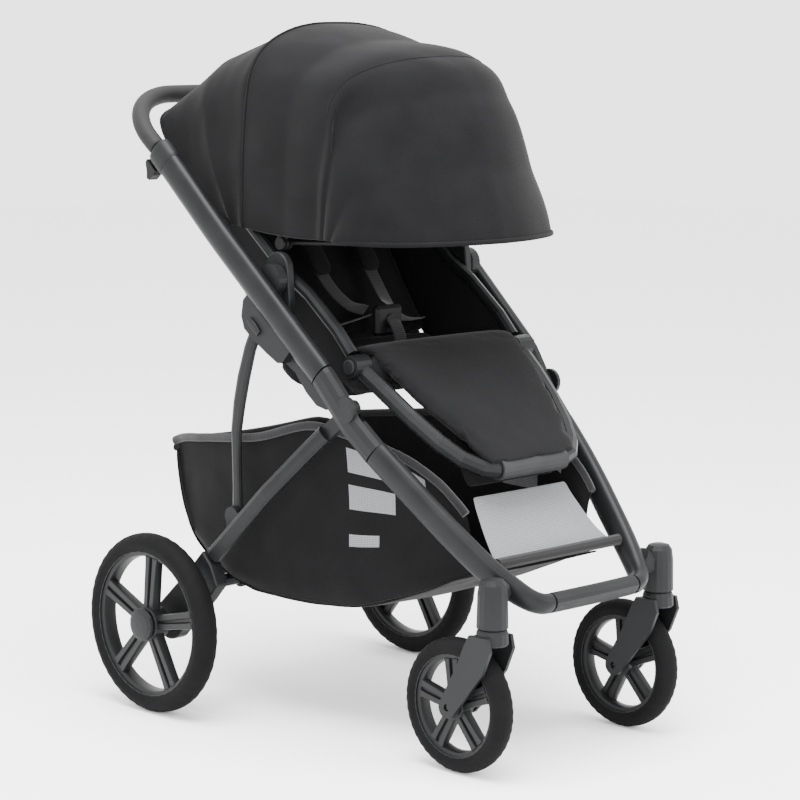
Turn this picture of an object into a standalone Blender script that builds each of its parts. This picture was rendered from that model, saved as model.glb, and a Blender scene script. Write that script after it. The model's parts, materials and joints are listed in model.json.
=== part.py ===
import math

import bmesh
import bpy
from mathutils import Matrix, Vector

# Driving dimensions, in metres. X is across, the front faces -Y, and Z is up.
# The wheels set the ground line; the frame tubes run up and back at one angle.
wheelBase = 0.584
originShift = -0.03058

tubeAngle = math.radians(41.7)
hinge = Vector((-0.088, 0.528))
tubeHeight = 0.045
tubeWidth = 0.028
upperStart = 0.0725
upperEnd = 0.563
upperX = 0.240

handleDrop = 0.0166
handleCorner = 0.124
gripRadius = 0.0145

rearWheelRadius = 0.146
rearWheelWidth = 0.042
rearTrack = 0.295
frontWheelRadius = 0.1026
frontWheelWidth = 0.0376
frontTrack = 0.1886
casterTrail = 0.066
tyreShare = 0.235

clearance = 0.0004
pinRadius = 0.005
seatPivot = Vector((0.090, 0.711))
seatTubeX = 0.180
seatTubeRadius = 0.010
legRestPivot = Vector((-0.064, 0.588))
canopyPivot = Vector((0.100, 0.765))
canopyHalf = seatTubeX + 0.020
canopyHem = 0.776
canopyRise = 0.328
canopyCrown = canopyHem + canopyRise
canopyFront = -0.194
clothThickness = 0.0035
basketHalf = 0.198
basketWall = 0.004

rearAxle = Vector((wheelBase / 2, rearWheelRadius))
frontAxle = Vector((-wheelBase / 2, frontWheelRadius))
casterY = frontAxle.x - casterTrail
along = Vector((math.cos(tubeAngle), math.sin(tubeAngle)))
across = Vector((-along.y, along.x))


# A place in the side view from its distance along the frame tube and its height above it.
def onTube(s, d):
    return hinge + along * s + across * d


foldPivot = onTube(0.106, -0.0315)
strutTop = onTube(0.226, -0.050)
strutFoot = Vector((0.1653, 0.3300))
crossTube = Vector((0.258, 0.203))

for old in list(bpy.data.objects):
    bpy.data.objects.remove(old, do_unlink=True)

stroller = bpy.data.collections.new("stroller")
bpy.context.scene.collection.children.link(stroller)


def surface(name, colour, roughness, metallic=0.0):
    made = bpy.data.materials.new(name)
    made.use_nodes = True
    made.diffuse_color = (*colour, 1.0)
    shader = made.node_tree.nodes["Principled BSDF"]
    shader.inputs["Base Color"].default_value = (*colour, 1.0)
    shader.inputs["Roughness"].default_value = roughness
    shader.inputs["Metallic"].default_value = metallic
    return made


framePaint = surface("frame_paint", (0.030, 0.031, 0.033), 0.42, 0.6)
housing = surface("housing_plastic", (0.045, 0.046, 0.048), 0.50)
plastic = surface("moulded_plastic", (0.022, 0.022, 0.023), 0.48)
button = surface("button_plastic", (0.060, 0.060, 0.062), 0.40)
tyre = surface("tyre_rubber", (0.020, 0.020, 0.020), 0.75)
grip = surface("grip_foam", (0.016, 0.016, 0.016), 0.80)
sleeve = surface("sleeve_rubber", (0.070, 0.070, 0.072), 0.65)
cloth = surface("charcoal_cloth", (0.028, 0.028, 0.030), 0.90)
hood = surface("hood_cloth", (0.036, 0.036, 0.038), 0.90)
webbing = surface("webbing", (0.018, 0.018, 0.018), 0.85)


bodies = {}


# An empty on each joint's axis; what it carries is parented to it.
def body(name, parent, pivot):
    empty = bpy.data.objects.new("at_" + name, None)
    stroller.objects.link(empty)
    empty.empty_display_size = 0.03
    if parent:
        empty.parent = bodies[parent][0]
        empty.location = Vector(pivot) - bodies[parent][1]
    else:
        empty.location = pivot
    bodies[name] = (empty, Vector(pivot))


def sideways(point, x=0.0):
    return Vector((x, point[0], point[1]))


# A closed body from rings of points, each ring joined to the next and the ends capped.
def loft(rings, loop=False):
    made = bmesh.new()
    rows = [[made.verts.new(point) for point in ring] for ring in rings]
    pairs = list(zip(rows, rows[1:]))
    if loop:
        pairs.append((rows[-1], rows[0]))
    for first, second in pairs:
        for i in range(len(first)):
            j = (i + 1) % len(first)
            made.faces.new((first[i], first[j], second[j], second[i]))
    if not loop:
        made.faces.new(rows[0][::-1])
        made.faces.new(rows[-1])
    bmesh.ops.recalc_face_normals(made, faces=made.faces)
    return made


# An oval tube along a path: wide is its size across, tall its size along the up direction.
def tube(path, wide, tall, up=(0, 0, 1), sides=12, power=2.0):
    points = [Vector(p) for p in path]
    count = len(points)
    wide = wide if isinstance(wide, (list, tuple)) else [wide] * count
    tall = tall if isinstance(tall, (list, tuple)) else [tall] * count
    rings = []
    for i, point in enumerate(points):
        ahead = points[min(i + 1, count - 1)] - point
        behind = point - points[max(i - 1, 0)]
        run = ahead.normalized() + behind.normalized()
        run.normalize()
        high = Vector(up) - run * run.dot(Vector(up))
        high.normalize()
        side = run.cross(high)
        ring = []
        for k in range(sides):
            turn = 2 * math.pi * (k + 0.5) / sides
            c, s = math.cos(turn), math.sin(turn)
            c = math.copysign(abs(c) ** (2 / power), c)
            s = math.copysign(abs(s) ** (2 / power), s)
            ring.append(point + side * (wide[i] / 2 * c) + high * (tall[i] / 2 * s))
        rings.append(ring)
    return loft(rings)


# A flat plate whose outline lies in the side view.
def plate(outline, x0, x1):
    return loft([[sideways(p, x0) for p in outline], [sideways(p, x1) for p in outline]])


def tubePlate(outline, x0, x1):
    return plate([onTube(s, d) for s, d in outline], x0, x1)


# A turned body: (distance along the axis, radius) pairs round an axis along X or Z.
def turned(profile, centre, axis="X", steps=16, loop=False):
    grow = 1 / math.cos(math.pi / steps)
    centre = Vector(centre)
    rings = []
    for k in range(steps):
        turn = 2 * math.pi * (k + 0.5) / steps
        ring = []
        for place, radius in profile:
            c, s = radius * grow * math.sin(turn), -radius * grow * math.cos(turn)
            ring.append(centre + (Vector((place, c, s)) if axis == "X" else Vector((c, s, place))))
        rings.append(ring)
    if loop:
        return loft(rings, loop=True)
    return loft([[ring[i] for ring in rings] for i in range(len(profile))])


def arc(centre, radius, start, end, steps):
    span = [math.radians(start + (end - start) * i / steps) for i in range(steps + 1)]
    return [Vector((centre[0] + radius * math.cos(a), centre[1] + radius * math.sin(a))) for a in span]


def block(centre, size, bevel=0.002):
    made = bmesh.new()
    bmesh.ops.create_cube(made, size=1.0)
    bmesh.ops.scale(made, vec=size, verts=made.verts)
    bmesh.ops.translate(made, vec=centre, verts=made.verts)
    bmesh.ops.bevel(made, geom=made.edges[:], offset=bevel, segments=1, affect="EDGES")
    return made


def helper(made):
    mesh = bpy.data.meshes.new("helper")
    made.to_mesh(mesh)
    made.free()
    obj = bpy.data.objects.new("helper", mesh)
    bpy.context.scene.collection.objects.link(obj)
    return obj


# Joins the first shapes into one body, then takes the cutters away from it.
def carve(shapes, cutters=()):
    base = helper(shapes[0])
    others = []
    jobs = [(made, "UNION") for made in shapes[1:]] + [(made, "DIFFERENCE") for made in cutters]
    for made, operation in jobs:
        other = helper(made)
        others.append(other)
        step = base.modifiers.new("step", "BOOLEAN")
        step.object = other
        step.operation = operation
        step.solver = "EXACT"
    graph = bpy.context.evaluated_depsgraph_get()
    mesh = bpy.data.meshes.new_from_object(base.evaluated_get(graph))
    made = bmesh.new()
    made.from_mesh(mesh)
    bmesh.ops.remove_doubles(made, verts=made.verts, dist=0.00002)
    bpy.data.meshes.remove(mesh)
    for used in [base, *others]:
        bpy.data.objects.remove(used, do_unlink=True)
    return made


def node(name, made, owner, material, smooth=40):
    empty, pivot = bodies[owner]
    bmesh.ops.translate(made, vec=-pivot, verts=made.verts)
    mesh = bpy.data.meshes.new(name)
    for face in made.faces:
        face.smooth = smooth > 0
    for edge in made.edges:
        edge.smooth = edge.calc_face_angle(0) < math.radians(smooth)
    made.to_mesh(mesh)
    made.free()
    mesh.materials.append(material)
    obj = bpy.data.objects.new(name, mesh)
    stroller.objects.link(obj)
    obj.parent = empty
    return obj


# The same shape on the other side of the stroller.
def mirrored(made):
    bmesh.ops.scale(made, vec=(-1, 1, 1), verts=made.verts)
    bmesh.ops.reverse_faces(made, faces=made.faces)
    return made


# Every paired part is drawn on its +X side; the right-hand one is its mirror image.
def pair(name, build, owner, material, smooth=40):
    for side in ("l", "r"):
        made = build()
        if side == "r":
            made = mirrored(made)
        carrier = owner + "_" + side if owner + "_" + side in bodies else owner
        node(name + "_" + side, made, carrier, material, smooth)


def bodyPair(name, parent, x, pivot):
    for side, sign in (("l", 1), ("r", -1)):
        carrier = parent + "_" + side if parent + "_" + side in bodies else parent
        body(name + "_" + side, carrier, sideways(pivot, sign * x))


body("front_frame", None, (0, 0, 0))
bodies["front_frame"][0].location = (0, originShift, 0)
body("upper_frame", "front_frame", sideways(foldPivot))
body("rear_frame", "front_frame", sideways(hinge))
bodyPair("strut", "upper_frame", 0.224, strutTop)
body("handle", "upper_frame", sideways(onTube(upperEnd, 0)))
body("seat", "upper_frame", sideways(seatPivot))
body("leg_rest", "seat", sideways(legRestPivot))
body("canopy_front", "seat", sideways(canopyPivot))
body("canopy_mid", "seat", sideways(canopyPivot))
bodyPair("caster", "front_frame", frontTrack, (casterY, 0.229))
bodyPair("front_wheel", "caster", frontTrack, frontAxle)
bodyPair("rear_wheel", "rear_frame", rearTrack, rearAxle)
leverPivot = onTube(0.556, -0.0290)
bodyPair("height_lever", "upper_frame", upperX, leverPivot)
triggerSpot = onTube(0.217, -0.045)
bodyPair("fold_trigger", "upper_frame", 0.244, triggerSpot)
body("brake_pedal", "rear_frame", sideways(crossTube, -0.120))
bodyPair("leg_rest_button", "leg_rest", 0.198, legRestPivot)
buckleSpot = Vector((0.0, 0.058, 0.634))
body("buckle_button", "seat", buckleSpot)
leverSpot = Vector((0.0, 0.240, 0.742))
body("recline_lever", "seat", leverSpot)

# Front frame: the leg tubes narrow toward the front and meet a flattened cross bar.
tubeUp = sideways(across)
legPath = [
    (0.2095, -0.1345, 0.4645),
    (0.1985, -0.183, 0.423),
    (0.1860, -0.229, 0.382),
    (0.1720, -0.271, 0.344),
    (0.1570, -0.312, 0.309),
    (0.1390, -0.349, 0.281),
    (0.1240, -0.372, 0.265),
    (0.1085, -0.383, 0.2585),
    (0.0950, -0.385, 0.2575),
]
barHalf = 0.0920


def legShape(spread=0.0):
    wide = [tubeWidth + spread] * 6 + [0.027 + spread, 0.027 + spread, 0.027 + spread]
    tall = [tubeHeight + spread] * 4 + [x + spread for x in (0.043, 0.039, 0.035, 0.033, 0.032)]
    return tube(legPath, wide, tall, up=tubeUp, sides=12, power=2.3)


pair("front_leg", legShape, "front_frame", framePaint)
barPath = [(x * barHalf, -0.385 - 0.002 * (1 - x * x), 0.2575) for x in (-1, -0.5, 0, 0.5, 1)]
bar = tube(barPath, 0.027, 0.032, up=tubeUp, sides=12, power=2.6)
node("front_crossbar", bar, "front_frame", housing)


# Hinge housing: carries on the tube's outline, is slotted for the rear leg's eye, and
# reaches back under the upper tube as two cheeks round the fold pivot.
slotX = (0.2095, 0.2195)


def hingeHousing():
    path = []
    for s, d, x in ((-0.0755, -0.0172, 0.2103), (-0.018, -0.0160, 0.218), (0.050, -0.0035, 0.226),
                    (0.0640, -0.001, 0.2276), (0.0705, -0.001, 0.228)):
        path.append(sideways(onTube(s, d), x))
    shell = tube(path, tubeWidth, tubeHeight, up=tubeUp, sides=12, power=2.3)
    boss = turned([(0.2260, 0.0205), (0.2325, 0.0205), (0.2345, 0.0175)], sideways(hinge), steps=16)
    legPin = turned([(0.2050, 0.006), (0.2300, 0.006)], sideways(hinge), steps=12)
    foldPin = turned([(0.2110, pinRadius), (0.2310, pinRadius)], sideways(foldPivot), steps=12)
    eye = arc((0.106, -0.0315), 0.0080, 80, -90, 6)
    cheek = [(0.026, -0.012), (0.0700, -0.012), (0.0708, -0.0240)]
    cheek += [tuple(p) for p in eye]
    cheek += [(0.075, -0.0430), (0.046, -0.0410), (0.027, -0.0300)]
    inner = tubePlate(cheek, 0.2098, 0.2145)
    outer = tubePlate(cheek, 0.2275, 0.2322)
    slot = [(-0.090, -0.052), (-0.031, 0.005), (-0.012, 0.0185), (0.012, 0.0185), (0.0225, 0.002)]
    slot += [(0.0225, -0.052)]
    made = carve([shell], [tubePlate(slot, *slotX)])
    return carve([made, boss, legPin, inner, outer, foldPin])



pair("hinge_housing", hingeHousing, "front_frame", housing)


def casterHousing():
    centre = (frontTrack, casterY, 0.0)
    profile = [(0.2295, 0.0210), (0.2315, 0.0235), (0.2800, 0.0225), (0.2960, 0.0205)]
    profile += [(0.3030, 0.0160), (0.3050, 0.0090)]
    post = turned(profile, centre, axis="Z", steps=16)
    path = [(frontTrack - 0.006, casterY + 0.004, 0.270), (0.160, -0.345, 0.284)]
    bracket = tube(path, 0.036, 0.034, up=(0, 0, 1), sides=10, power=3.0)
    return carve([post, bracket], [legShape(0.0008)])


pair("caster_housing", casterHousing, "front_frame", housing)


def casterFork():
    centre = (frontTrack, casterY, 0.0)
    profile = [(0.2055, 0.0230), (0.2080, 0.0245), (0.2240, 0.0235), (0.2288, 0.0215)]
    crown = turned(profile, centre, axis="Z", steps=16)
    gap = frontWheelWidth / 2 + 0.0030
    leg = [(casterY - 0.016, 0.2200), (casterY - 0.021, 0.2000), (casterY - 0.006, 0.1640)]
    leg += [tuple(p) for p in arc(frontAxle, 0.0165, 215, 372, 8)]
    leg += [(casterY + 0.046, 0.1700), (casterY + 0.032, 0.2020), (casterY + 0.022, 0.2200)]
    shapes = [crown]
    for sign in (-1, 1):
        near = frontTrack + sign * gap
        far = near + sign * 0.0060
        shapes.append(plate(leg, min(near, far), max(near, far)))
    bridge = block((frontTrack, casterY + 0.003, 0.2135), (2 * gap + 0.006, 0.034, 0.0135), 0.002)
    bore = turned([(-0.04, 0.0054), (0.04, 0.0054)], sideways(frontAxle, frontTrack), steps=12)
    room = turned([(-gap, 0.1062), (gap, 0.1062)], sideways(frontAxle, frontTrack), steps=28)
    return carve([*shapes, bridge], [bore, room])


pair("caster_fork", casterFork, "caster", housing)


# A tyre and its rim have the same number of facets, so they nest.
def wheelSteps(radius):
    return 28 if radius < 0.12 else 32


# A tyre's section: a flat tread with round shoulders, closed over the rim.
def tyreShape(x, axle, radius, width):
    inner = radius * (1 - tyreShare)
    half = width / 2
    deep = radius - inner
    outline = [(half * 0.66, inner), (half * 0.97, inner + deep * 0.35), (half, inner + deep * 0.60)]
    outline += [(half * 0.80, radius - deep * 0.12), (half * 0.40, radius)]
    profile = outline + [(-a, r) for a, r in reversed(outline)]
    return turned(profile, sideways(axle, x), steps=wheelSteps(radius), loop=True)


# A rim with five pairs of spokes round its hub. The hub is bored, or carries its own axle.
def rimShape(x, axle, radius, width, hubRadius, hubHalf, bore=None, stub=None):
    outer = radius * (1 - tyreShare) - clearance
    half = width / 2 * 0.66
    section = [(half, outer - 0.0045), (half, outer), (-half, outer), (-half, outer - 0.0045)]
    section += [(-half * 0.5, outer - 0.0105), (half * 0.5, outer - 0.0105)]
    centre = sideways(axle, x)
    ring = turned(section, centre, steps=wheelSteps(radius), loop=True)
    hub = turned([(-hubHalf, hubRadius * 0.86), (-hubHalf * 0.8, hubRadius), (hubHalf * 0.8, hubRadius),
                  (hubHalf, hubRadius * 0.86)], centre, steps=14)
    shapes = [ring, hub]
    for k in range(5):
        for lean in (-1, 1):
            turn = math.radians(90 + 72 * k)
            foot = Vector((math.cos(turn), math.sin(turn))) * hubRadius * 0.62
            foot += Vector((-math.sin(turn), math.cos(turn))) * lean * hubRadius * 0.32
            tip = turn + lean * 0.17
            head = Vector((math.cos(tip), math.sin(tip))) * (outer - 0.006)
            path = [centre + sideways(foot, 0), centre + sideways(head, 0)]
            shapes.append(tube(path, [half * 1.3, half * 0.9], [0.0098, 0.0080],
                               up=(0, -head.y, head.x), sides=4))
    if stub:
        shapes.append(turned(stub, centre, steps=12))
    holes = [turned([(-0.06, bore), (0.06, bore)], centre, steps=12)] if bore else []
    return carve(shapes, holes)


def frontTyre():
    return tyreShape(frontTrack, frontAxle, frontWheelRadius, frontWheelWidth)


def frontRim():
    half = [(0.0283, 0.0050), (0.0283, 0.0090), (0.0298, 0.0090), (0.0315, 0.0070)]
    stub = [(-a, r) for a, r in reversed(half)] + half
    return rimShape(frontTrack, frontAxle, frontWheelRadius, frontWheelWidth, 0.0195, 0.0190, stub=stub)


def rearTyre():
    return tyreShape(rearTrack, rearAxle, rearWheelRadius, rearWheelWidth)


def rearRim():
    return rimShape(rearTrack, rearAxle, rearWheelRadius, rearWheelWidth, 0.0250, 0.0225, bore=0.0064)


def rearAxleShape():
    profile = [(-0.0480, 0.0045), (-0.0460, 0.0060), (0.0230, 0.0060), (0.0230, 0.0270)]
    profile += [(0.0265, 0.0260), (0.0290, 0.0190), (0.0300, 0.0080)]
    return turned(profile, sideways(rearAxle, rearTrack), steps=16)


pair("front_tyre", frontTyre, "front_wheel", tyre)
pair("front_rim", frontRim, "front_wheel", plastic, 30)
pair("rear_tyre", rearTyre, "rear_wheel", tyre)
pair("rear_rim", rearRim, "rear_wheel", plastic, 30)
pair("rear_axle", rearAxleShape, "rear_wheel", housing)

# Rear frame: slender legs from the hinge down to the axle housings.
rearPath = [(0.2165, -0.030, 0.4835), (0.2255, 0.010, 0.4455), (0.2380, 0.079, 0.380), (0.2495, 0.1935, 0.2645)]


def rearLeg():
    leg = tube(rearPath, 0.022, 0.028, up=(0, 0.70, 0.71), sides=12, power=2.3)
    run = (Vector((-0.022, 0.4760)) - hinge).normalized()
    side = Vector((-run.y, run.x))
    neck = [hinge + run * 0.080 + side * 0.012, hinge + run * 0.010 + side * 0.0125]
    start = math.degrees(math.atan2(side.y, side.x))
    neck += [hinge + p for p in arc((0, 0), 0.0135, start, start + 180, 8)]
    neck += [hinge + run * 0.010 - side * 0.0125, hinge + run * 0.080 - side * 0.012]
    tongue = plate(neck, slotX[0] + 0.0006, slotX[1] - 0.0006)
    ear = arc(strutFoot, 0.0155, -40, 150, 8)
    ear += [Vector((0.118, 0.338)), Vector((0.182, 0.272))]
    lug = plate(ear, 0.2305, 0.2380)
    bore = turned([(-0.02, 0.0066), (0.02, 0.0066)], sideways(hinge, 0.214), steps=12)
    return carve([leg, tongue, lug], [bore])


pair("rear_leg", rearLeg, "rear_frame", framePaint)


def axleHousing():
    outline = [Vector((0.2075, 0.2715)), Vector((0.238, 0.2400))]
    outline += arc(rearAxle, 0.033, 45, -150, 9)
    outline += [Vector((0.199, 0.190)), Vector((0.172, 0.220)), Vector((0.1872, 0.2507))]
    shell = plate(outline, 0.2380, rearTrack - 0.0320)
    bmesh.ops.bevel(shell, geom=shell.edges[:], offset=0.0022, segments=1, affect="EDGES")
    bore = turned([(-0.050, 0.0066), (-0.010, 0.0066)], sideways(rearAxle, rearTrack), steps=12)
    return carve([shell], [bore])


pair("axle_housing", axleHousing, "rear_frame", housing)
crossPath = [sideways(crossTube, x) for x in (-0.2376, 0.2376)]
node("rear_cross_tube", tube(crossPath, 0.022, 0.022, sides=12), "rear_frame", framePaint)


def brakePedal():
    centre = sideways(crossTube, -0.120)
    collar = turned([(-0.020, 0.0160), (0.020, 0.0160)], centre, steps=14)
    pad = tube([centre + Vector((0, 0.010, 0.000)), centre + Vector((0, 0.040, 0.004)),
                centre + Vector((0, 0.070, -0.004))], [0.034, 0.046, 0.050], [0.012, 0.010, 0.008],
               up=(0, 0, 1), sides=10, power=3.5)
    bore = turned([(-0.03, 0.0117), (0.03, 0.0117)], centre, steps=14)
    return carve([collar, pad], [bore])


node("brake_pedal", brakePedal(), "brake_pedal", plastic)


# Struts: a curved strip from the latch housing to the rear leg's ear.
def strut():
    path = [strutTop, Vector((0.134, 0.600)), Vector((0.1500, 0.551)), Vector((0.160, 0.510))]
    path += [Vector((0.1675, 0.465)), Vector((0.1670, 0.425)), Vector((0.1655, 0.380)), strutFoot]
    tall = [0.022, 0.024, 0.026, 0.025, 0.021, 0.018, 0.018, 0.020]
    places = [sideways(p, 0.224) for p in path]
    strip = tube(places, 0.0096, tall, up=(0, 1, 0.15), sides=10, power=3.0)
    top = turned([(-0.0048, 0.0125), (0.0048, 0.0125)], sideways(strutTop, 0.224), steps=14)
    foot = turned([(-0.0085, 0.0130), (-0.0048, 0.0175), (0.0052, 0.0175)],
                  sideways(strutFoot, 0.224), steps=14)
    bore = turned([(-0.02, 0.0055), (0.02, 0.0055)], sideways(strutTop, 0.224), steps=12)
    return carve([strip, top, foot], [bore])


pair("strut", strut, "strut", framePaint)


# Upper frame: oval tubes, hollow at the top for the handle's stems.
def tubeX(s):
    return 0.228 + (upperX - 0.228) * min(1.0, (s - upperStart) / 0.30)


def upperShape(spread=0.0):
    stations = (upperStart, 0.18, 0.28, upperStart + 0.30, upperEnd)
    path = [sideways(onTube(s, 0), tubeX(s)) for s in stations]
    return tube(path, tubeWidth + spread, tubeHeight + spread, up=tubeUp, sides=14, power=2.3)


stemWide = 0.0190
stemTall = 0.0340


def upperTube():
    path = [sideways(onTube(s, 0), upperX) for s in (0.405, upperEnd + 0.01)]
    bore = tube(path, stemWide + 0.0012, stemTall + 0.0012, up=tubeUp, sides=14, power=2.3)
    collarPath = [sideways(onTube(s, 0), upperX) for s in (0.530, 0.535, upperEnd - 0.004, upperEnd)]
    collar = tube(collarPath, [0.0284, 0.0312, 0.0312, 0.0290], [0.0454, 0.0482, 0.0482, 0.0460],
                  up=tubeUp, sides=14, power=2.3)
    return carve([upperShape(), collar], [bore])


pair("upper_tube", upperTube, "upper_frame", framePaint)


# Latch housing: a lobe under the tube with the fold tongue in front and a clevis for the strut.
def latchHousing():
    lobe = [(0.136, -0.010), (0.262, -0.010), (0.264, -0.034), (0.250, -0.056), (0.232, -0.0660)]
    lobe += [(0.208, -0.0640), (0.172, -0.0570), (0.144, -0.0500), (0.136, -0.0420)]
    wide = tubePlate(lobe, 0.2145, 0.2412)
    tongue = [(0.150, -0.016), (0.106, -0.0240)]
    tongue += [tuple(p) for p in arc((0.106, -0.0315), 0.0078, 110, 260, 6)]
    tongue += [(0.120, -0.0440), (0.150, -0.0500)]
    thin = tubePlate(tongue, 0.2150, 0.2270)
    pin = turned([(0.2160, pinRadius), (0.2330, pinRadius)], sideways(strutTop), steps=12)
    slot = [(0.186, -0.080), (0.206, -0.0450), (0.212, -0.0355), (0.239, -0.0355), (0.247, -0.045)]
    slot += [(0.262, -0.080)]
    bore = turned([(0.20, 0.0056), (0.24, 0.0056)], sideways(foldPivot), steps=12)
    shell = carve([wide, thin], [upperShape(0.0010), tubePlate(slot, 0.2184, 0.2296), bore])
    return carve([shell, pin])


pair("latch_housing", latchHousing, "upper_frame", housing)


def foldTrigger():
    middle = sideways(triggerSpot, 0.2440)
    half = sideways(along) * 0.016
    return tube([middle - half, middle, middle + half], 0.0040, [0.010, 0.014, 0.010],
                up=tubeUp, sides=10, power=3.0)


pair("fold_trigger", foldTrigger, "fold_trigger", button)


def seatMount():
    disc = turned([(0.2056, 0.0215), (0.2080, 0.0240), (0.2240, 0.0240)], sideways(seatPivot), steps=20)
    foot = tubePlate([(0.226, 0.000), (0.284, 0.000), (0.270, 0.030), (0.240, 0.030)], 0.2080, 0.2240)
    return carve([disc, foot], [upperShape(0.0010)])


pair("seat_mount", seatMount, "upper_frame", housing)


def heightLever():
    outline = [(0.542, -0.0268), (0.569, -0.0268), (0.568, -0.0330), (0.556, -0.0420), (0.549, -0.0500)]
    outline += [(0.543, -0.0480), (0.541, -0.0360)]
    return tubePlate(outline, upperX - 0.0085, upperX + 0.0085)


pair("height_lever", heightLever, "height_lever", plastic)


# Handle: one bar bent round at both ends, with flat stems that run in the upper tubes.
def gripPath():
    points = [(upperX, upperEnd + 0.0045)]
    cornerS = 0.5816
    for k in range(7):
        turn = math.radians(90 * k / 6)
        x = upperX - handleCorner + handleCorner * math.cos(turn)
        points.append((x, cornerS + handleCorner * math.sin(turn)))
    reach = cornerS + handleCorner - upperEnd
    points += [(0.050, cornerS + handleCorner), (0.0, cornerS + handleCorner)]
    points += [(-x, s) for x, s in reversed(points[:-1])]
    return [sideways(onTube(s, -handleDrop * (s - upperEnd) / reach), x) for x, s in points]


handleGrip = tube(gripPath(), 2 * gripRadius, 2 * gripRadius, up=tubeUp, sides=10)
node("handle_grip", handleGrip, "handle", grip)


def handleStem():
    path = [sideways(onTube(s, 0), upperX) for s in (0.4200, 0.4240, upperEnd + 0.0020)]
    return tube(path, [stemWide - 0.002, stemWide, stemWide], [stemTall - 0.002, stemTall, stemTall],
                up=tubeUp, sides=12, power=2.3)


pair("handle_stem", handleStem, "handle", framePaint)

# Seat: a U frame, hubs on the frame's mounts, and a padded bucket.
seatTop = Vector((0.371, 0.947))
seatStart = Vector((-0.0500, 0.6040))
seatKnee = Vector((-0.020, 0.636))


def seatFramePath():
    bend = 0.045
    run = (seatTop - seatPivot).normalized()
    points = [(seatTubeX, seatStart), (seatTubeX, seatKnee), (seatTubeX, Vector((0.045, 0.688)))]
    points += [(seatTubeX, seatPivot + Vector((0.002, 0.004))), (seatTubeX, seatTop - run * 0.20)]
    for k in range(6):
        turn = math.radians(90 * k / 5)
        x = seatTubeX - bend + bend * math.cos(turn)
        points.append((x, seatTop - run * bend * (1 - math.sin(turn))))
    points += [(0.0, seatTop)]
    points += [(-x, p) for x, p in reversed(points[:-1])]
    return [sideways(p, x) for x, p in points]


seatTube = tube(seatFramePath(), 0.020, 0.020, up=(0, -0.64, 0.77), sides=10)
node("seat_frame", seatTube, "seat", framePaint)


def seatHub():
    outline = [Vector((0.067, 0.655)), Vector((0.112, 0.655)), Vector((0.120, 0.675))]
    outline += arc((0.094, 0.728), 0.0255, 0, 180, 8)
    outline += [Vector((0.064, 0.680))]
    shell = plate(outline, 0.1912, 0.2050)
    bmesh.ops.bevel(shell, geom=shell.edges[:], offset=0.0018, segments=1, affect="EDGES")
    return shell


pair("seat_hub", seatHub, "seat", housing)

shellHalf = 0.162
shellThick = 0.036


def seatShell():
    back = [Vector(p) for p in ((0.3560, 0.9400), (0.2600, 0.7950), (0.1700, 0.6580), (0.1320, 0.6090))]
    back += [Vector(p) for p in ((0.1020, 0.5700), (0.0650, 0.5560), (-0.0250, 0.5570), (-0.0800, 0.5800))]
    rings = []
    for i, point in enumerate(back):
        run = (back[min(i + 1, len(back) - 1)] - back[max(i - 1, 0)]).normalized()
        inward = Vector((run.y, -run.x))
        half = shellHalf * (0.90 if i in (0, len(back) - 1) else 1.0)
        soft = 0.008
        ring = []
        for x, t in ((-1, 0.25), (-1, 0.75), (-0.9, 1), (0.9, 1), (1, 0.75), (1, 0.25), (0.9, 0), (-0.9, 0)):
            thick = shellThick - (soft if abs(x) == 1 else 0)
            ring.append(sideways(point + inward * thick * t, x * half))
        rings.append(ring)
    return loft(rings)


node("seat_shell", seatShell(), "seat", cloth)


# Harness: two shoulder straps that come down to the buckle, joined by the waist strap.
def harness():
    places = [(0.0560, 0.2980, 0.9260), (0.0560, 0.2180, 0.8060), (0.0540, 0.1500, 0.7060)]
    places += [(0.0460, 0.1080, 0.6560), (0.0330, 0.0850, 0.6380)]
    straps = []
    for sign in (-1, 1):
        path = [Vector((sign * x, y, z)) for x, y, z in places]
        straps.append(tube(path, 0.034, 0.0050, up=(0, -0.83, 0.56), sides=8, power=4.0))
    waist = tube([(-0.120, 0.0900, 0.6360), (0.120, 0.0900, 0.6360)], 0.0050, 0.024, up=(0, 0.3, 0.95),
                 sides=8, power=4.0)
    return carve([straps[0], waist, straps[1]])


node("harness", harness(), "seat", webbing)
buckle = block(buckleSpot, (0.058, 0.018, 0.048), 0.005)
well = turned([(-0.012, 0.0112), (0.012, 0.0112)], (0, 0, 0), axis="Z", steps=14)
bmesh.ops.rotate(well, matrix=Matrix.Rotation(math.radians(90), 3, "X"), verts=well.verts)
bmesh.ops.translate(well, vec=buckleSpot - Vector((0, 0.0150, 0)), verts=well.verts)
node("buckle", carve([buckle], [well]), "seat", plastic)
press = turned([(-0.0035, 0.0090), (-0.0025, 0.0105), (0.0025, 0.0105)], (0, 0, 0), axis="Z", steps=14)
bmesh.ops.rotate(press, matrix=Matrix.Rotation(math.radians(90), 3, "X"), verts=press.verts)
bmesh.ops.scale(press, vec=(1, -1, 1), verts=press.verts)
bmesh.ops.reverse_faces(press, faces=press.faces)
bmesh.ops.translate(press, vec=buckleSpot - Vector((0, 0.0080, 0)), verts=press.verts)
node("buckle_button", press, "buckle_button", button)
pull = tube([leverSpot + Vector((x, 0, -0.010 * (1 - x * x / 0.0012))) for x in (-0.034, -0.02, 0, 0.02, 0.034)],
            0.008, 0.020, up=(0, 0, 1), sides=8, power=3.0)
node("recline_lever", pull, "recline_lever", plastic)

# Leg rest: a U of thicker tube with knobs at its ends, a rubber sleeve and a pad.
legTube = 0.0135
knobIn, knobOut = 0.1660, 0.1980


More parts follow.
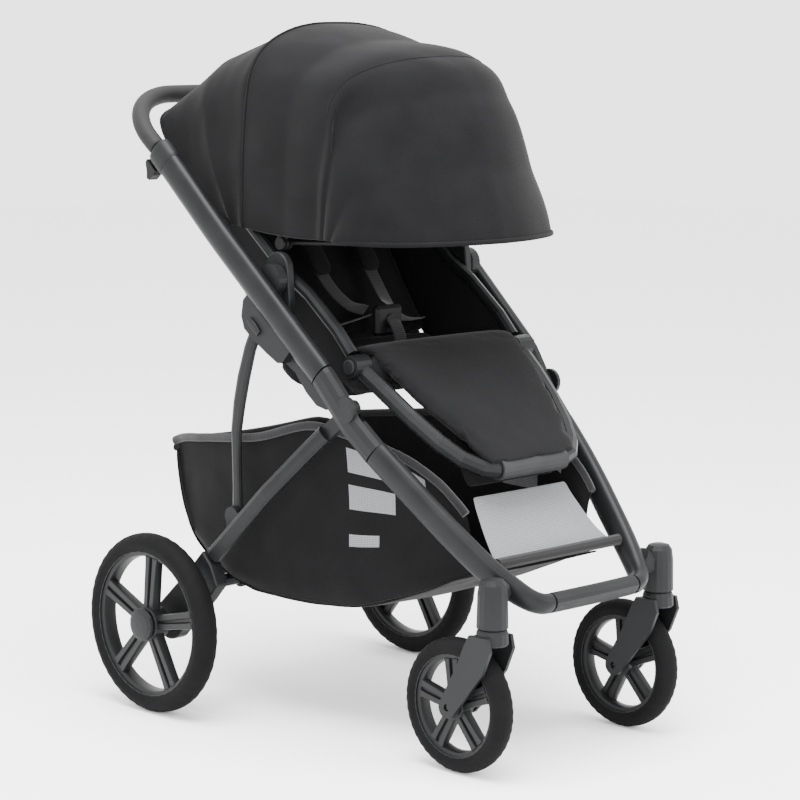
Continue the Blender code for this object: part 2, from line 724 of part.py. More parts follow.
def legRestPath():
    points = [(0.1760, -0.072, 0.580), (0.1690, -0.110, 0.552), (0.1570, -0.157, 0.515)]
    points += [(0.1400, -0.200, 0.480), (0.1210, -0.229, 0.457), (0.0980, -0.2480, 0.4440)]
    points += [(0.0740, -0.255, 0.440)]
    return [Vector(p) for p in points] + [Vector((-x, y, z)) for x, y, z in reversed(points)]


def legRestFrame():
    bent = tube(legRestPath(), 2 * legTube, 2 * legTube, up=(0, -0.6, 0.8), sides=10)
    knobs = []
    wells = []
    for sign in (-1, 1):
        centre = sideways(legRestPivot, 0)
        span = sorted((sign * knobIn, sign * knobOut))
        knobs.append(turned([(span[0], 0.0170), (span[1], 0.0170)], centre, steps=16))
        deep = sorted((sign * (knobOut - 0.0070), sign * (knobOut + 0.01)))
        wells.append(turned([(deep[0], 0.0120), (deep[1], 0.0120)], centre, steps=14))
    return carve([bent, *knobs], wells)


node("leg_rest_frame", legRestFrame(), "leg_rest", framePaint)
sleeveProfile = [(-0.0725, legTube + 0.0035), (0.0725, legTube + 0.0035)]
sleeveProfile += [(0.0725, legTube + 0.0004), (-0.0725, legTube + 0.0004)]
sleeveShape = turned(sleeveProfile, (0, -0.255, 0.440), steps=16, loop=True)
node("leg_rest_sleeve", sleeveShape, "leg_rest", sleeve)


def legRestPad():
    rings = []
    for y, z, half in ((-0.100, 0.5520, 0.130), (-0.165, 0.5010, 0.122), (-0.2220, 0.4590, 0.090)):
        up = Vector((0, -0.62, 0.78)) * 0.006
        corners = [(-half, -1), (-half, 1), (half, 1), (half, -1)]
        rings.append([Vector((x, y, z)) + up * side for x, side in corners])
    return loft(rings)


node("leg_rest_pad", legRestPad(), "leg_rest", cloth)


def legRestButton():
    profile = [(-0.0030, 0.0114), (0.0016, 0.0114), (0.0030, 0.0095)]
    return turned(profile, sideways(legRestPivot, knobOut), steps=14)


pair("leg_rest_button", legRestButton, "leg_rest_button", button)


# Canopy: three bows on one pivot line, with the hood in two parts that meet at the main bow.
def bow(x, crown, lift, eyeX, pinned):
    foot = sideways(canopyPivot)
    rise = sideways(crown) - foot
    rise -= Vector((rise.x, 0, 0))
    points = []
    corner = lift
    reach = rise.length
    run = rise.normalized()
    for distance in (0.006, 0.06, reach - corner - 0.02):
        points.append(foot + run * distance + Vector((x, 0, 0)))
    for k in range(5):
        turn = math.radians(90 * k / 4)
        inward = x - corner + corner * math.cos(turn)
        points.append(foot + run * (reach - corner * (1 - math.sin(turn))) + Vector((inward, 0, 0)))
    points += [Vector((-p.x, p.y, p.z)) for p in reversed(points)]
    side = Vector((0, -run.z, run.y))
    shapes = [tube(points, 0.007, 0.007, up=side, sides=6)]
    holes = []
    for sign in (-1, 1):
        ends = sorted((sign * eyeX, sign * (eyeX + 0.0045)))
        shapes.append(turned([(ends[0], 0.010), (ends[1], 0.010)], foot, steps=12))
        if pinned:
            pin = sorted((sign * (seatTubeX - 0.0085), sign * (eyeX + 0.001)))
            shapes.append(turned([(pin[0], 0.003), (pin[1], 0.003)], foot, steps=12))
        else:
            holes.append(turned([(ends[0] - 0.002, 0.0035), (ends[1] + 0.002, 0.0035)], foot, steps=12))
    return carve(shapes, holes)


mainCrown = Vector((0.164, canopyCrown - 0.022))
midCrown = Vector((-0.026, canopyHem + 0.795 * canopyRise))
frontCrown = Vector((canopyFront + 0.016, canopyHem + 0.004))
node("canopy_main_bow", bow(seatTubeX + 0.0112, mainCrown, 0.118, seatTubeX + 0.0090, True), "seat", plastic)
node("canopy_mid_bow", bow(seatTubeX + 0.0035, midCrown, 0.125, seatTubeX + 0.0015, False), "canopy_mid", plastic)
node("canopy_front_bow", bow(seatTubeX - 0.0040, frontCrown, 0.120, seatTubeX - 0.0060, False), "canopy_front", plastic)


# An arch of the hood, given by its foot, shoulder and crown on the +X side.
def hoodArch(foot, shoulder, crown, corner):
    points = []
    for k in range(4):
        share = k / 4
        points.append(Vector(foot).lerp(Vector(shoulder), share))
    for k in range(6):
        turn = math.radians(90 * k / 5)
        x = shoulder[0] - corner * (1 - math.cos(turn))
        rise = math.sin(turn) * (1 - 0.12 * math.sin(2 * turn))
        y = shoulder[1] + (crown[1] - shoulder[1]) * rise * 0.9
        points.append(Vector((x, y, shoulder[2] + (crown[2] - shoulder[2]) * rise * 0.92)))
    points.append(Vector((0.045, crown[1], crown[2] - 0.001)))
    points.append(Vector((0.0, crown[1], crown[2])))
    return points + [Vector((-p.x, p.y, p.z)) for p in reversed(points[:-1])]


def hoodHem():
    points = []
    for k in range(12):
        turn = math.radians(90 * (k / 11) ** 1.15)
        x = canopyHalf * abs(math.cos(turn)) ** 0.62
        y = -0.055 + (canopyFront + 0.055) * math.sin(turn) ** 0.80
        points.append(Vector((x, y, canopyHem - 0.002)))
    points[-1].x = 0.0
    return points + [Vector((-p.x, p.y, p.z)) for p in reversed(points[:-1])]


# A sheet of cloth as a closed solid: its rows are the outside face.
def clothSolid(rows, inside):
    made = bmesh.new()
    verts = [[made.verts.new(point) for point in row] for row in rows]
    for low, high in zip(verts, verts[1:]):
        for i in range(len(low) - 1):
            made.faces.new((low[i], low[i + 1], high[i + 1], high[i]))
    made.normal_update()
    total = sum(f.normal.dot(f.calc_center_median() - inside) for f in made.faces)
    if total < 0:
        bmesh.ops.reverse_faces(made, faces=made.faces)
    made.normal_update()
    normals = {v: v.normal.copy() for v in made.verts}
    outer = list(made.faces)
    twin = {v: made.verts.new(v.co - normals[v] * clothThickness) for v in list(made.verts)}
    edge = [e for e in made.edges if len(e.link_faces) == 1]
    for e in edge:
        loop = e.link_faces[0].loops
        a, b = next((l.vert, l.link_loop_next.vert) for l in loop if l.edge == e)
        made.faces.new((b, a, twin[a], twin[b]))
    for f in outer:
        made.faces.new([twin[v] for v in reversed(f.verts)])
    bmesh.ops.recalc_face_normals(made, faces=made.faces)
    return made


mainArch = hoodArch((canopyHalf, 0.176, canopyHem + 0.008), (canopyHalf, 0.166, canopyHem + 0.713 * canopyRise),
                    (0, 0.176, canopyCrown), 0.110)
midArch = hoodArch((canopyHalf, -0.030, canopyHem), (canopyHalf, -0.010, canopyHem + 0.607 * canopyRise),
                   (0, -0.066, canopyHem + 0.854 * canopyRise), 0.095)
backArch = hoodArch((canopyHalf - 0.0010, 0.200, canopyHem + 0.020), (canopyHalf - 0.0025, 0.386, 0.950),
                    (0, 0.394, 0.980), 0.050)
inside = Vector((0, 0.05, 0.85))


def between(first, second, count, lift=0.0):
    rows = []
    for k in range(count + 1):
        share = k / count
        sag = lift * math.sin(math.pi * share)
        rows.append([a.lerp(b, share) + Vector((0, 0, sag)) for a, b in zip(first, second)])
    return rows


def hoodFront():
    return clothSolid(between(mainArch, midArch, 3, 0.003) + between(midArch, hoodHem(), 4)[1:], inside)


def hoodRear():
    start = [p + Vector((0, 0.0050, 0)) for p in mainArch]
    middle = [a.lerp(b, 0.55) - Vector((0, 0, 0.012)) for a, b in zip(start, backArch)]
    return clothSolid([start, *between(start, middle, 2)[1:], *between(middle, backArch, 2)[1:]], inside)


node("canopy_hood", hoodFront(), "canopy_front", hood)
node("canopy_rear", hoodRear(), "seat", hood)


# Basket: an open bag hung between the legs, its floor rising to a bar at the front.
def basketRings(inset, lift):
    stations = [
        (-0.302, 0.294, 0.322, 0.130),
        (-0.240, 0.278, 0.398, 0.148),
        (-0.150, 0.240, 0.452, 0.166),
        (-0.050, 0.207, 0.476, 0.182),
        (0.035, 0.199, 0.484, 0.192),
        (0.135, 0.199, 0.457, basketHalf),
        (0.205, 0.205, 0.446, basketHalf),
        (0.290, 0.236, 0.436, 0.194),
        (0.345, 0.268, 0.428, 0.186),
        (0.388, 0.330, 0.414, 0.176),
    ]
    rings = []
    for i, (y, low, high, half) in enumerate(stations):
        if inset and i == 0:
            y += inset
        if inset and i == len(stations) - 1:
            y -= inset
        half -= inset
        low += inset
        high += lift
        soft = min(0.035, (high - low) * 0.4)
        row = [(half, high), (half * 1.0, low + soft), (half - soft * 0.3, low + soft * 0.3), (half - soft, low)]
        row += [(-x, z) for x, z in reversed(row)]
        rings.append([Vector((x, y, z)) for x, z in row])
    return rings


node("basket", carve([loft(basketRings(0, 0))], [loft(basketRings(basketWall, 0.06))]), "front_frame", cloth)
frontBar = tube([(-0.1375, -0.318, 0.312), (0.1375, -0.318, 0.312)], 0.018, 0.018, sides=10)
node("basket_bar", frontBar, "front_frame", webbing)
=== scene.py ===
import json
import math

import bmesh
import bpy
from mathutils import Matrix, Vector, noise


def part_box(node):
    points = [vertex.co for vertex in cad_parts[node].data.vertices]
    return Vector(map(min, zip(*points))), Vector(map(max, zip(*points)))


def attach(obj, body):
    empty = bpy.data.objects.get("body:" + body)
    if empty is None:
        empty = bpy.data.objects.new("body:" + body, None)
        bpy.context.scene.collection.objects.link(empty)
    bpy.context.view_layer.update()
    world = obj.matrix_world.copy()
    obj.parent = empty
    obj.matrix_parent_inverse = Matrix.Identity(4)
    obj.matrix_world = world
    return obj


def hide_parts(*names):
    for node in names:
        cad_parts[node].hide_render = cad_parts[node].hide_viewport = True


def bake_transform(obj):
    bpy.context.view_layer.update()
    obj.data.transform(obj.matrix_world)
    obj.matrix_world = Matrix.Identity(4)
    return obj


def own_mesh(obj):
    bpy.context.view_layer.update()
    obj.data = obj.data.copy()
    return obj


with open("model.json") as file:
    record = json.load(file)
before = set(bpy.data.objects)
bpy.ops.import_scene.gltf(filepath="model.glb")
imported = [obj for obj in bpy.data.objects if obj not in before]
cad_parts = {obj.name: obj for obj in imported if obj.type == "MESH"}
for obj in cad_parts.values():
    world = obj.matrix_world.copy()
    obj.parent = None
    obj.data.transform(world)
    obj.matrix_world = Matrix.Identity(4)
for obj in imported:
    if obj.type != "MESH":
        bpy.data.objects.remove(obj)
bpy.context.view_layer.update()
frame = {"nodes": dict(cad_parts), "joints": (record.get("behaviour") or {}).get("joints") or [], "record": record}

joints = {joint["name"]: joint for joint in frame["joints"]}
nodes = frame["nodes"]


# Places that the frame gives.
def jointAt(name):
    return Vector(joints[name]["pos_m"])


hinge = jointAt("rear_fold")
along = Vector(joints["handle_slide"]["axis"])
across = Vector((0, -along.z, along.y))
forward = hinge.y + 0.088  # how far the whole model sits from mid wheelbase


def at(x, y, z):
    return Vector((x, y + forward, z))


def onTube(s, d, x=0.0):
    return Vector((x, hinge.y, hinge.z)) + along * s + across * d


# Mesh makers.
def finish(name, mesh, body, material, replaces=(), slot=None, smooth=50):
    for face in mesh.polygons:
        face.use_smooth = True
    piece = bpy.data.objects.new(name, mesh)
    bpy.context.scene.collection.objects.link(piece)
    if not mesh.materials:
        mesh.materials.append(material)
    if smooth < 180:
        mesh.set_sharp_from_angle(angle=math.radians(smooth))
    if body:
        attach(piece, body)
    if replaces:
        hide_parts(*replaces)
    return piece


# A grid of points becomes a mesh whose UVs are real metres along and across.
def gridMesh(name, rows, closed=False, caps=False):
    made = bmesh.new()
    layer = made.loops.layers.uv.new("metres")
    verts = [[made.verts.new(point) for point in row] for row in rows]
    wide = len(rows[0])
    middle = rows[len(rows) // 2]
    acrossRun = [0.0]
    for i in range(wide if closed else wide - 1):
        acrossRun.append(acrossRun[-1] + (middle[(i + 1) % wide] - middle[i]).length)
    alongRun = [0.0]
    for j in range(len(rows) - 1):
        alongRun.append(alongRun[-1] + (rows[j + 1][wide // 2] - rows[j][wide // 2]).length)
    for j in range(len(rows) - 1):
        for i in range(wide if closed else wide - 1):
            k = (i + 1) % wide
            face = made.faces.new((verts[j][i], verts[j][k], verts[j + 1][k], verts[j + 1][i]))
            corners = ((i, j), (i + 1, j), (i + 1, j + 1), (i, j + 1))
            for loop, (u, v) in zip(face.loops, corners):
                loop[layer].uv = (acrossRun[u], alongRun[v])
    if caps:
        made.faces.new(verts[0][::-1])
        made.faces.new(verts[-1])
    bmesh.ops.recalc_face_normals(made, faces=made.faces)
    mesh = bpy.data.meshes.new(name)
    made.to_mesh(mesh)
    made.free()
    return mesh


def spline(points, count):
    points = [Vector(p) for p in points]
    out = []
    last = len(points) - 1
    for i in range(count):
        place = last * i / (count - 1)
        k = min(int(place), last - 1)
        t = place - k
        a, b = points[max(k - 1, 0)], points[k]
        c, d = points[k + 1], points[min(k + 2, last)]
        out.append(0.5 * ((2 * b) + (c - a) * t + (2 * a - 5 * b + 4 * c - d) * t * t
                          + (3 * b - a - 3 * c + d) * t ** 3))
    return out


def steps(values, count):
    return [v.x for v in spline([(v, 0, 0) for v in values], count)]


def tubeRows(path, wide, tall, up, sides=24, power=2.0):
    rows = []
    last = len(path) - 1
    wide = wide if isinstance(wide, list) else [wide] * len(path)
    tall = tall if isinstance(tall, list) else [tall] * len(path)
    for i, point in enumerate(path):
        run = (path[min(i + 1, last)] - path[max(i - 1, 0)]).normalized()
        high = (Vector(up) - run * run.dot(Vector(up))).normalized()
        side = run.cross(high)
        row = []
        for k in range(sides):
            turn = 2 * math.pi * (k + 0.5) / sides
            c, s = math.cos(turn), math.sin(turn)
            c = math.copysign(abs(c) ** (2 / power), c)
            s = math.copysign(abs(s) ** (2 / power), s)
            row.append(point + side * (wide[i] / 2 * c) + high * (tall[i] / 2 * s))
        rows.append(row)
    return rows


def tubePiece(name, path, wide, tall, up, body, material, sides=24, power=2.0, **kept):
    rows = tubeRows(path, wide, tall, up, sides, power)
    return finish(name, gridMesh(name, rows, closed=True, caps=True), body, material, **kept)


# A turned piece: (distance along X, radius) pairs round a wheel's axis.
def turnedRows(profile, centre, count):
    rows = []
    for k in range(count):
        turn = 2 * math.pi * k / count
        rows.append([centre + Vector((a, r * math.cos(turn), r * math.sin(turn))) for a, r in profile])
    return rows


def thicken(piece, amount, levels=1, inward=-1.0):
    solid = piece.modifiers.new("cloth thickness", "SOLIDIFY")
    solid.thickness = amount
    solid.offset = inward
    if levels:
        smooth = piece.modifiers.new("smooth", "SUBSURF")
        smooth.levels = levels
        smooth.render_levels = levels
    return piece


def joined(name, meshes):
    made = bmesh.new()
    for mesh in meshes:
        made.from_mesh(mesh)
        bpy.data.meshes.remove(mesh)
    mesh = bpy.data.meshes.new(name)
    made.to_mesh(mesh)
    made.free()
    return mesh


def ridged(point, size, seed):
    value = noise.noise(point / size + Vector((seed, seed * 0.7, -seed)))
    return 1.0 - abs(value) * 2.0


# Materials.
def linear(hexText):
    out = []
    for i in (0, 2, 4):
        value = int(hexText[i:i + 2], 16) / 255
        out.append(value / 12.92 if value <= 0.04045 else ((value + 0.055) / 1.055) ** 2.4)
    return (*out, 1.0)


def addNode(tree, kind, settings=None, links=None):
    made = tree.nodes.new(kind)
    for key, value in (settings or {}).items():
        if isinstance(key, int) or key in made.inputs:
            made.inputs[key].default_value = value
        else:
            setattr(made, key, value)
    for key, source in (links or {}).items():
        tree.links.new(source, made.inputs[key])
    return made


def newSurface(name, roughness, metallic=0.0, settings=None):
    made = bpy.data.materials.new(name)
    made.use_nodes = True
    tree = made.node_tree
    shader = tree.nodes["Principled BSDF"]
    shader.inputs["Roughness"].default_value = roughness
    shader.inputs["Metallic"].default_value = metallic
    shader.inputs["Specular IOR Level"].default_value = 0.0 if roughness > 0.8 else 0.16
    for key, value in (settings or {}).items():
        shader.inputs[key].default_value = value
    return made, tree, shader


def colourMix(tree, factor, low, high):
    ramp = addNode(tree, "ShaderNodeValToRGB", links={"Fac": factor})
    ramp.color_ramp.elements[0].position = 0.30
    ramp.color_ramp.elements[1].position = 0.72
    ramp.color_ramp.elements[0].color = linear(low)
    ramp.color_ramp.elements[1].color = linear(high)
    return ramp.outputs["Color"]


# Woven polyester: crossed threads, a heather of lighter and darker yarns, and soft fuzz.
# The real threads are 0.4 mm apart; they are drawn at 1.1 mm so that they show.
def wovenCloth(name, low, high, thread=0.0011, depth=0.00022, sheen=0.04):
    made, tree, shader = newSurface(name, 0.92, 0.0, {"Sheen Weight": sheen, "Sheen Roughness": 0.45,
                                                     "Specular IOR Level": 0.04})
    where = addNode(tree, "ShaderNodeTexCoord")
    waves = []
    for turn in (0.0, math.pi / 2):
        spun = addNode(tree, "ShaderNodeMapping", {"Rotation": (0, 0, turn)}, {"Vector": where.outputs["UV"]})
        waves.append(addNode(tree, "ShaderNodeTexWave", {"Scale": 1 / (thread * 6.2832) * math.pi / 10 * 2,
                                                         "Distortion": 0.6, "Detail": 1.0},
                             {"Vector": spun.outputs["Vector"]}))
    weave = addNode(tree, "ShaderNodeMath", {"operation": "MULTIPLY"},
                    {0: waves[0].outputs["Fac"], 1: waves[1].outputs["Fac"]})
    yarn = addNode(tree, "ShaderNodeTexNoise", {"Scale": 900.0, "Detail": 3.0, "Roughness": 0.65},
                   {"Vector": where.outputs["Object"]})
    patch = addNode(tree, "ShaderNodeTexNoise", {"Scale": 14.0, "Detail": 3.0},
                    {"Vector": where.outputs["Object"]})
    mixed = addNode(tree, "ShaderNodeMath", {"operation": "MULTIPLY_ADD", 1: 0.45},
                    {0: yarn.outputs["Fac"],
                     2: addNode(tree, "ShaderNodeMath", {"operation": "MULTIPLY", 1: 0.55},
                                {0: patch.outputs["Fac"]}).outputs[0]})
    tree.links.new(colourMix(tree, mixed.outputs[0], low, high), shader.inputs["Base Color"])
    bump = addNode(tree, "ShaderNodeBump", {"Strength": 0.55, "Distance": depth},
                   {"Height": weave.outputs[0]})
    fuzz = addNode(tree, "ShaderNodeBump", {"Strength": 0.30, "Distance": depth},
                   {"Height": yarn.outputs["Fac"], "Normal": bump.outputs["Normal"]})
    tree.links.new(fuzz.outputs["Normal"], shader.inputs["Normal"])
    return made


# Warp-knitted mesh: pale yarn round rows of small dark holes, drawn at 3 mm spacing so they show.
def knittedMesh(name, yarnHex, holeHex, spacing=0.0030):
    made, tree, shader = newSurface(name, 0.80, 0.0, {"Sheen Weight": 0.15})
    where = addNode(tree, "ShaderNodeTexCoord")
    cells = addNode(tree, "ShaderNodeTexVoronoi", {"Scale": 1 / spacing, "Randomness": 0.12},
                    {"Vector": where.outputs["UV"]})
    ramp = addNode(tree, "ShaderNodeValToRGB", links={"Fac": cells.outputs["Distance"]})
    ramp.color_ramp.elements[0].position = 0.20
    ramp.color_ramp.elements[1].position = 0.34
    ramp.color_ramp.elements[0].color = linear(holeHex)
    ramp.color_ramp.elements[1].color = linear(yarnHex)
    tree.links.new(ramp.outputs["Color"], shader.inputs["Base Color"])
    bump = addNode(tree, "ShaderNodeBump", {"Strength": 0.7, "Distance": 0.0005},
                   {"Height": cells.outputs["Distance"]})
    tree.links.new(bump.outputs["Normal"], shader.inputs["Normal"])
    return made


# Painted, moulded and rubber surfaces: a fine grain in the gloss and the bump, and a slow mottle.
def grained(name, low, high, roughness, metallic=0.0, grain=0.0006, depth=0.00006, settings=None):
    made, tree, shader = newSurface(name, roughness, metallic, settings)
    where = addNode(tree, "ShaderNodeTexCoord")
    fine = addNode(tree, "ShaderNodeTexNoise", {"Scale": 1 / grain, "Detail": 4.0, "Roughness": 0.6},
                   {"Vector": where.outputs["Object"]})
    slow = addNode(tree, "ShaderNodeTexNoise", {"Scale": 22.0, "Detail": 4.0, "Roughness": 0.55},
                   {"Vector": where.outputs["Object"]})
    tree.links.new(colourMix(tree, slow.outputs["Fac"], low, high), shader.inputs["Base Color"])
    spread = addNode(tree, "ShaderNodeMapRange", {"To Min": roughness - 0.06, "To Max": roughness + 0.08},
                     {"Value": slow.outputs["Fac"]})
    tree.links.new(spread.outputs["Result"], shader.inputs["Roughness"])
    bump = addNode(tree, "ShaderNodeBump", {"Strength": 0.5, "Distance": depth},
                   {"Height": fine.outputs["Fac"]})
    tree.links.new(bump.outputs["Normal"], shader.inputs["Normal"])
    return made


# Woven polyamide webbing: ribs across the strap every 1.6 mm.
def ribbedWebbing(name, low, high):
    made, tree, shader = newSurface(name, 0.85, 0.0, {"Sheen Weight": 0.2})
    where = addNode(tree, "ShaderNodeTexCoord")
    ribs = addNode(tree, "ShaderNodeTexWave", {"Scale": 98.0, "bands_direction": "Y", "Distortion": 0.3},
                   {"Vector": where.outputs["UV"]})
    tree.links.new(colourMix(tree, ribs.outputs["Fac"], low, high), shader.inputs["Base Color"])
    bump = addNode(tree, "ShaderNodeBump", {"Strength": 0.6, "Distance": 0.0003},
                   {"Height": ribs.outputs["Fac"]})
    tree.links.new(bump.outputs["Normal"], shader.inputs["Normal"])
    return made


hoodCanvas = wovenCloth("woven_polyester_canvas", "0d0d0e", "141415")
seatTwill = wovenCloth("woven_polyester_twill", "0e0e0f", "141415", thread=0.0013)
linerKnit = wovenCloth("brushed_polyester_knit", "101011", "161617", thread=0.0016, sheen=0.04)
basketNylon = wovenCloth("woven_nylon_ripstop", "0b0b0c", "111112", thread=0.0014, sheen=0.06)
ventMesh = knittedMesh("warp_knitted_mesh", "6e6f72", "2c2d30")
powderCoat = grained("aluminium_powder_coated", "141516", "1a1b1c", 0.40, 0.35, grain=0.0007)
mouldedAbs = grained("abs_injection_moulded", "101112", "151617", 0.50, 0.0, grain=0.0009)
nylonRim = grained("glass_filled_nylon_moulded", "131314", "18191a", 0.44, 0.0, grain=0.0011)
blackNylon = grained("nylon_moulded_black", "0d0d0e", "121213", 0.48)
tyreRubber = grained("polyurethane_tyre_moulded", "0a0a0b", "0f0f10", 0.72, 0.0, grain=0.0018, depth=0.0002,
                      settings={"Specular IOR Level": 0.06})
gripFoam = grained("leatherette_stitched_grip", "141415", "1d1d1e", 0.62, 0.0, grain=0.0022, depth=0.00025)
softSleeve = grained("tpe_sleeve_moulded", "202122", "272829", 0.60, 0.0, grain=0.0012)
webbing = ribbedWebbing("polyamide_webbing_woven", "141415", "222224")
print("materials made")

paintFor = {
    "frame_paint": powderCoat, "housing_plastic": mouldedAbs, "moulded_plastic": blackNylon,
    "button_plastic": mouldedAbs, "tyre_rubber": tyreRubber, "grip_foam": gripFoam,
    "sleeve_rubber": softSleeve, "charcoal_cloth": seatTwill, "hood_cloth": hoodCanvas, "webbing": webbing,
}
for part in frame["record"]["subparts"]:
    mesh = nodes[part["node"]].data
    mesh.materials.clear()
    mesh.materials.append(paintFor[part["material_slot"]])
    for face in mesh.polygons:
        face.use_smooth = True
    mesh.set_sharp_from_angle(angle=math.radians(40))

# Soft pieces.
def halfToFull(points, count):
    half = spline(points, count)
    return half + [Vector((-p.x, p.y, p.z)) for p in reversed(half[:-1])]


# Rows through a set of key arches, smooth from each to the next.
def archRows(keys, perArch, half=29):
    arches = [halfToFull(key, half) for key in keys]
    columns = [spline([arch[i] for arch in arches], (len(keys) - 1) * perArch + 1)
               for i in range(len(arches[0]))]
    return [[column[j] for column in columns] for j in range(len(columns[0]))]


# Creases: long soft folds along `run`, small crumples, pulled in where the cloth hangs free.
def creased(rows, amount, seed, sag=0.0, period=None, stretch=(1.0, 1.0, 1.0)):
    out = []
    tall, wide = len(rows), len(rows[0])
    for j, row in enumerate(rows):
        line = []
        for i, point in enumerate(row):
            a = rows[max(j - 1, 0)][i] - rows[min(j + 1, tall - 1)][i]
            b = row[max(i - 1, 0)] - row[min(i + 1, wide - 1)]
            normal = a.cross(b)
            normal = normal.normalized() if normal.length > 1e-9 else Vector((0, 0, 1))
            spot = Vector((point.x * stretch[0], point.y * stretch[1], point.z * stretch[2]))
            lift = amount * (0.75 * ridged(spot, 0.085, seed) + 0.35 * ridged(spot, 0.032, seed + 3))
            if period:
                lift -= sag * abs(math.sin(math.pi * j / period))
            edge = min(1.0, j / 2, (tall - 1 - j) / 2)
            line.append(point + normal * lift * edge)
        out.append(line)
    return out


hood = {
    "main": [
        (0.2000, 0.178, 0.784), (0.2035, 0.173, 0.880), (0.2020, 0.167, 0.975), (0.1900, 0.166, 1.034),
        (0.1560, 0.169, 1.070), (0.1050, 0.173, 1.092), (0.0500, 0.176, 1.102), (0.0, 0.176, 1.1035)],
    "middle": [
        (0.2000, 0.085, 0.776), (0.2035, 0.080, 0.880), (0.2015, 0.074, 0.955), (0.1880, 0.070, 1.008),
        (0.1550, 0.066, 1.042), (0.1030, 0.062, 1.066), (0.0500, 0.060, 1.077), (0.0, 0.060, 1.079)],
    "second": [
        (0.2000, 0.012, 0.776), (0.2030, 0.004, 0.865), (0.2010, -0.012, 0.938), (0.1880, -0.010, 0.990),
        (0.1550, -0.020, 1.024), (0.1030, -0.046, 1.046), (0.0500, -0.068, 1.054), (0.0, -0.070, 1.056)],
    "upper": [
        (0.2000, -0.006, 0.776), (0.2015, -0.014, 0.840), (0.1985, -0.024, 0.896), (0.1890, -0.022, 0.936),
        (0.1660, -0.038, 0.966), (0.1160, -0.098, 0.988), (0.0560, -0.120, 0.997), (0.0, -0.125, 0.999)],
    "lower": [
        (0.2000, -0.022, 0.776), (0.2010, -0.038, 0.806), (0.1985, -0.056, 0.834), (0.1900, -0.075, 0.856),
        (0.1690, -0.101, 0.870), (0.1240, -0.136, 0.880), (0.0600, -0.161, 0.886), (0.0, -0.167, 0.887)],
    "hem": [
        (0.2000, -0.036, 0.775), (0.1995, -0.064, 0.775), (0.1965, -0.092, 0.775), (0.1890, -0.117, 0.775),
        (0.1700, -0.143, 0.775), (0.1270, -0.168, 0.775), (0.0620, -0.189, 0.775), (0.0, -0.196, 0.775)],
    "rearMiddle": [
        (0.1990, 0.205, 0.788), (0.2020, 0.240, 0.868), (0.2010, 0.266, 0.948), (0.1890, 0.280, 0.998),
        (0.1560, 0.288, 1.030), (0.1050, 0.292, 1.050), (0.0500, 0.294, 1.060), (0.0, 0.294, 1.062)],
    "rear": [
        (0.1960, 0.214, 0.790), (0.1985, 0.276, 0.826), (0.1985, 0.338, 0.884), (0.1950, 0.380, 0.934),
        (0.1800, 0.390, 0.957), (0.1250, 0.394, 0.971), (0.0600, 0.396, 0.978), (0.0, 0.396, 0.980)],
}
keyed = {name: [at(*p) for p in points] for name, points in hood.items()}
frontRows = archRows([keyed[k] for k in ("main", "middle", "second", "upper", "lower", "hem")], 9)
frontRows = creased(frontRows, 0.0016, 11, 0.0030, 9, (1.0, 0.55, 1.3))
hoodFront = finish("hood_front_panel", gridMesh("hood_front_panel", frontRows), None, hoodCanvas,
                   replaces=["canopy_hood"], slot="hood_cloth", smooth=180)
backStart = [[p + Vector((0, 0.002, 0)) for p in keyed["main"]], keyed["rearMiddle"], keyed["rear"]]
rearRows = creased(archRows(backStart, 12), 0.0034, 23, 0.0040, 12, (1.2, 1.0, 0.6))
hoodRear = finish("hood_rear_panel", gridMesh("hood_rear_panel", rearRows), "seat", hoodCanvas,
                  replaces=["canopy_rear"], slot="hood_cloth", smooth=180)
for cloth in (hoodFront, hoodRear):
    thicken(cloth, 0.0022, 1)


# A rolled or piped edge that follows a line on the cloth.
def piping(name, line, size, material, slot, body="seat", tall=None):
    piece = tubePiece(name, line, size, tall or size, (0.02, 0.3, 1), body, material, sides=10, slot=slot)
    return piece


hemRoll = piping("hood_hem_binding", [p + Vector((0, 0, 0.002)) for p in frontRows[-1]], 0.0042, hoodCanvas,
                 "hood_cloth", None, 0.0075)
visorLine = [p for p in frontRows[18] if p.z > 0.955]
secondSeam = piping("hood_visor_seam", visorLine, 0.0020, hoodCanvas, "hood_cloth", None)
piping("hood_crown_seam", [p + Vector((0, 0.001, 0)) for p in frontRows[0]], 0.0044, hoodCanvas,
       "hood_cloth", "seat")
piping("hood_rear_binding", rearRows[-1], 0.0050, hoodCanvas, "hood_cloth", "seat")
for piece in (hoodFront, hemRoll, secondSeam):
    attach(piece, "seat")
    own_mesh(piece)
print("hood made")


